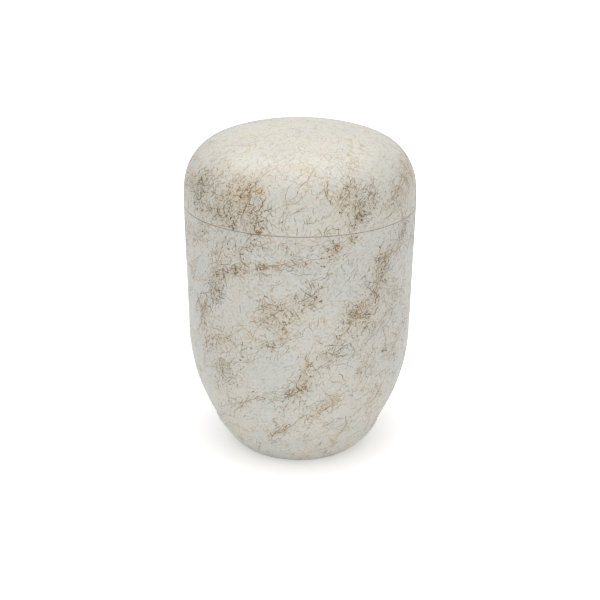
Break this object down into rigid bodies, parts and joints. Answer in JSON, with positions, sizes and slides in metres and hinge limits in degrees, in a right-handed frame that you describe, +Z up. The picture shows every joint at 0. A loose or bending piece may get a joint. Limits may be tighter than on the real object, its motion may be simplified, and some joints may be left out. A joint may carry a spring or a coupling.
{
  "type": "cremation urn",
  "caption": "Tall rounded cremation urn with a domed lift-off lid, hollow, in ivory lacquer with a fine brown marble effect.",
  "frame": {"origin": "centre of the flat foot that the urn stands on", "axes": "+Z up along the turning axis, through the centre of the lid; +X to the right and -Y towards the viewer"},
  "size_m": [0.19, 0.19, 0.276],
  "materials": {
    "body_lacquer": "satin ivory lacquer over a moulded plant-based plastic, with fine brown marble-effect threads",
    "lid_lacquer": "the same satin ivory lacquer and threads, a little paler on the crown"
  },
  "bodies": {
    "root": {"urn_body": "body_lacquer", "urn_lid": "lid_lacquer"}
  },
  "joints": []
}
